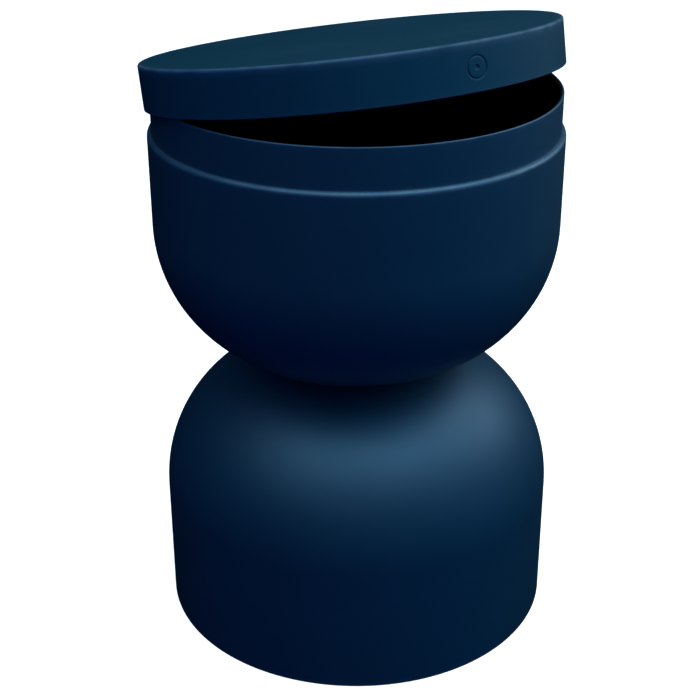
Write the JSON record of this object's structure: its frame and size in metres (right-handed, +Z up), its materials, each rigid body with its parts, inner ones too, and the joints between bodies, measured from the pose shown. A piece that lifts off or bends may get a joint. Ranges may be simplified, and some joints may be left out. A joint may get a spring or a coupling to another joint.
{
  "type": "hourglass storage side table",
  "caption": "Hourglass side table of two spun bowls joined floor to floor, the upper one a storage bowl closed by a flat skirted lid on a rear hinge.",
  "frame": {"origin": "on the table's vertical axis, in the middle of the underside of its base pad, at floor height", "axes": "+Z up along the table's axis; the front, where the lid rises, faces -Y; the hinge is at +Y; +X is to the right when looking at the front along +Y"},
  "size_m": [0.36, 0.3699, 0.5685],
  "materials": {
    "navy_shell": "matt powder coat",
    "navy_lid": "matt powder coat",
    "navy_hinge": "satin powder coat",
    "black_liner": "flocked",
    "black_felt": "felt",
    "board": "birch plywood",
    "rubber": "matt",
    "nylon": "matt",
    "zinc_steel": "zinc plated",
    "dark_plate": "semi-matt"
  },
  "bodies": {
    "stand": {"base_pad": "rubber", "base_plate": "dark_plate", "base_ring": "zinc_steel", "base_screw_1": "zinc_steel", "base_screw_2": "zinc_steel", "base_screw_3": "zinc_steel", "base_screw_4": "zinc_steel", "base_shell": "navy_shell", "bowl_floor_pad": "black_felt", "bowl_liner": "black_liner", "bowl_shell": "navy_shell", "hinge_backing_plate": "zinc_steel", "hinge_body_leaf": "navy_hinge", "hinge_body_rivet_1": "zinc_steel", "hinge_body_rivet_2": "zinc_steel", "hinge_body_rivet_3": "zinc_steel", "hinge_body_rivet_4": "zinc_steel", "hinge_pin": "zinc_steel", "hinge_washer_1": "nylon", "hinge_washer_2": "nylon", "waist_bolt_1": "zinc_steel", "waist_bolt_2": "zinc_steel", "waist_bolt_3": "zinc_steel", "waist_bolt_4": "zinc_steel", "waist_nut_1": "zinc_steel", "waist_nut_2": "zinc_steel", "waist_nut_3": "zinc_steel", "waist_nut_4": "zinc_steel", "waist_plate_lower": "zinc_steel", "waist_plate_upper": "zinc_steel", "waist_washer_1": "zinc_steel", "waist_washer_2": "zinc_steel", "waist_washer_3": "zinc_steel", "waist_washer_4": "zinc_steel"},
    "lid": {"hinge_lid_leaf": "navy_hinge", "hinge_lid_rivet_1": "zinc_steel", "hinge_lid_rivet_2": "zinc_steel", "hinge_lid_rivet_3": "zinc_steel", "hinge_lid_rivet_4": "zinc_steel", "lid_board": "board", "lid_bumper_ring": "rubber", "lid_lining": "black_felt", "lid_shell": "navy_lid"}
  },
  "joints": [
    {"name": "lid_hinge", "type": "hinge", "parent": "stand", "child": "lid", "pos_m": [0, 0.1859, 0.46305], "axis": [-1, 0, 0], "range_deg": [-10.75, 84.25]}
  ]
}
